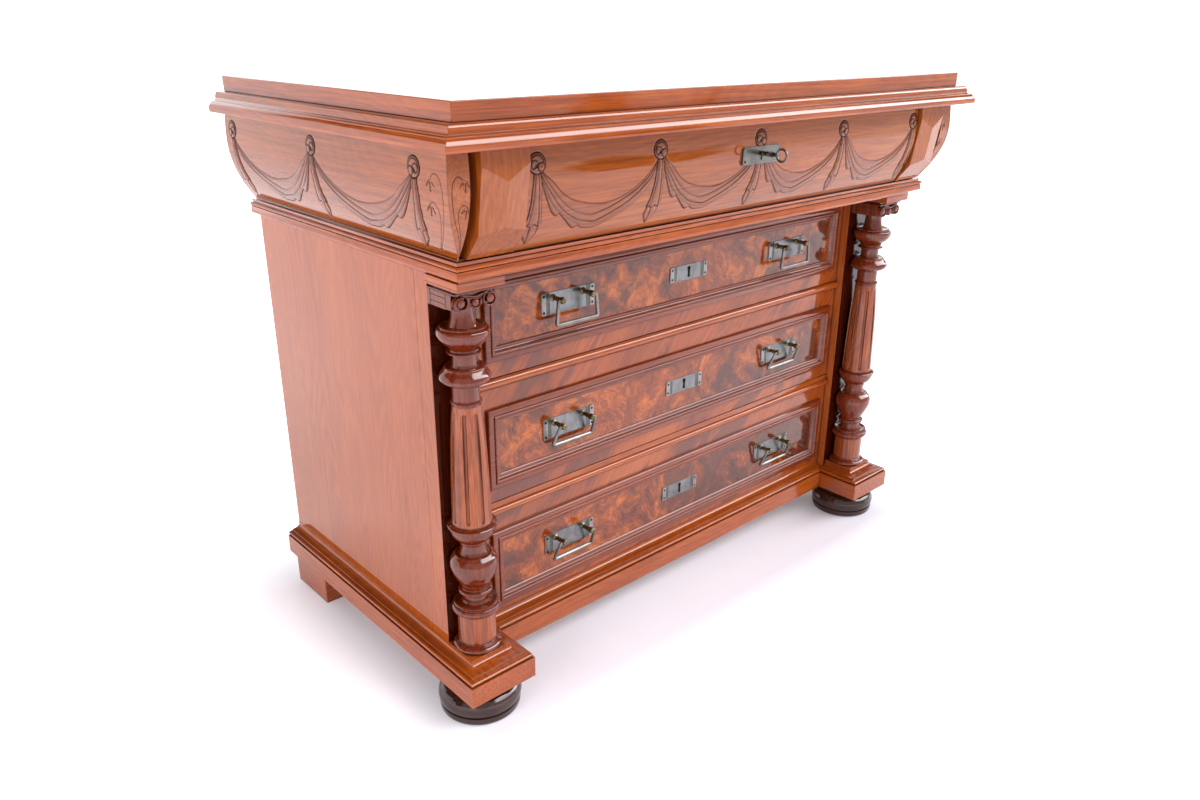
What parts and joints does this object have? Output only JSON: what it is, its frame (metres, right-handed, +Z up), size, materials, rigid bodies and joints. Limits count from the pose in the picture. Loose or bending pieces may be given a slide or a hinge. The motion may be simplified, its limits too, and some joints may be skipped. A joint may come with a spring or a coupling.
{
  "type": "commode",
  "caption": "Two-storey chest of drawers with turned corner columns, a swelling carved frieze drawer over deep drawers, bail handles and a turning key.",
  "frame": {"origin": "on the floor, under the middle of the box that holds the whole piece with its key", "axes": "+X to the right seen from the front, +Y to the back, +Z up"},
  "size_m": [1.12, 0.6495, 0.873],
  "materials": {
    "walnut": "polished walnut, high gloss",
    "burr_walnut": "figured burr walnut veneer, high gloss",
    "softwood": "plain softwood, unpolished",
    "turned_wood": "dark red-brown stained wood, polished",
    "ebonised_wood": "ebonised, polished",
    "nickel": "tarnished nickel-plated brass",
    "lock_steel": "dull steel sheet"
  },
  "bodies": {
    "case": {"bun_foot_left": "ebonised_wood", "bun_foot_right": "ebonised_wood", "back_foot_left": "ebonised_wood", "back_foot_right": "ebonised_wood", "base_front": "walnut", "base_left": "walnut", "base_right": "walnut", "bottom_board": "softwood", "side_panel_left": "walnut", "side_panel_right": "walnut", "back_panel": "softwood", "stile_left": "walnut", "stile_right": "walnut", "rail_lower": "walnut", "rail_upper": "walnut", "waist_board": "walnut", "waist_moulding_front": "walnut", "waist_moulding_left": "walnut", "waist_moulding_right": "walnut", "column_left": "turned_wood", "column_right": "turned_wood", "capital_left": "turned_wood", "capital_right": "turned_wood", "impost_left": "walnut", "impost_right": "walnut", "frieze_side_left": "walnut", "frieze_side_right": "walnut", "facet_block_left": "burr_walnut", "facet_block_right": "burr_walnut", "cornice_front": "walnut", "cornice_left": "walnut", "cornice_right": "walnut", "top_board": "walnut"},
    "drawer_1": {"drawer_1_front": "burr_walnut", "drawer_1_frame": "walnut", "drawer_1_box": "softwood", "drawer_1_lock": "nickel", "drawer_1_plates": "nickel"},
    "drawer_1_bail_left": {"drawer_1_bail_left": "nickel"},
    "drawer_1_bail_right": {"drawer_1_bail_right": "nickel"},
    "drawer_2": {"drawer_2_front": "burr_walnut", "drawer_2_frame": "walnut", "drawer_2_box": "softwood", "drawer_2_lock": "nickel", "drawer_2_plates": "nickel"},
    "drawer_2_bail_left": {"drawer_2_bail_left": "nickel"},
    "drawer_2_bail_right": {"drawer_2_bail_right": "nickel"},
    "drawer_3": {"drawer_3_front": "burr_walnut", "drawer_3_frame": "walnut", "drawer_3_box": "softwood", "drawer_3_lock": "nickel", "drawer_3_plates": "nickel"},
    "drawer_3_bail_left": {"drawer_3_bail_left": "nickel"},
    "drawer_3_bail_right": {"drawer_3_bail_right": "nickel"},
    "frieze_drawer": {"frieze_drawer_front": "walnut", "frieze_drawer_box": "softwood", "frieze_drawer_plate": "nickel", "frieze_drawer_lock": "lock_steel"},
    "frieze_drawer_bolt": {"frieze_drawer_bolt": "lock_steel"},
    "key": {"key": "nickel"}
  },
  "joints": [
    {"name": "drawer_1_slide", "type": "slide", "parent": "case", "child": "drawer_1", "axis": [0, -1, 0], "range_m": [0, 0.335]},
    {"name": "drawer_1_bail_left_swing", "type": "hinge", "parent": "drawer_1", "child": "drawer_1_bail_left", "pos_m": [-0.2575, -0.16725, 0.58485], "axis": [-1, 0, 0], "range_deg": [-30, 150]},
    {"name": "drawer_1_bail_right_swing", "type": "hinge", "parent": "drawer_1", "child": "drawer_1_bail_right", "pos_m": [0.2575, -0.16725, 0.58485], "axis": [-1, 0, 0], "range_deg": [-30, 150]},
    {"name": "drawer_2_slide", "type": "slide", "parent": "case", "child": "drawer_2", "axis": [0, -1, 0], "range_m": [0, 0.335]},
    {"name": "drawer_2_bail_left_swing", "type": "hinge", "parent": "drawer_2", "child": "drawer_2_bail_left", "pos_m": [-0.2575, -0.16725, 0.3903], "axis": [-1, 0, 0], "range_deg": [-9, 171]},
    {"name": "drawer_2_bail_right_swing", "type": "hinge", "parent": "drawer_2", "child": "drawer_2_bail_right", "pos_m": [0.2575, -0.16725, 0.3903], "axis": [-1, 0, 0], "range_deg": [-9, 171]},
    {"name": "drawer_3_slide", "type": "slide", "parent": "case", "child": "drawer_3", "axis": [0, -1, 0], "range_m": [0, 0.335]},
    {"name": "drawer_3_bail_left_swing", "type": "hinge", "parent": "drawer_3", "child": "drawer_3_bail_left", "pos_m": [-0.2575, -0.16725, 0.1923], "axis": [-1, 0, 0], "range_deg": [-9, 171]},
    {"name": "drawer_3_bail_right_swing", "type": "hinge", "parent": "drawer_3", "child": "drawer_3_bail_right", "pos_m": [0.2575, -0.16725, 0.1923], "axis": [-1, 0, 0], "range_deg": [-9, 171]},
    {"name": "frieze_drawer_slide", "type": "slide", "parent": "case", "child": "frieze_drawer", "axis": [0, -1, 0], "range_m": [0, 0.41]},
    {"name": "key_turn", "type": "hinge", "parent": "frieze_drawer", "child": "key", "pos_m": [0, -0.27775, 0.7765], "axis": [0, 1, 0], "range_deg": [0, 180]},
    {"name": "bolt_rise", "type": "slide", "parent": "frieze_drawer", "child": "frieze_drawer_bolt", "axis": [0, 0, 1], "range_m": [0, 0.006]}
  ],
  "couplings": [
    {"joint": "bolt_rise", "follows": "key_turn", "m_per_rad": 0.0019}
  ]
}
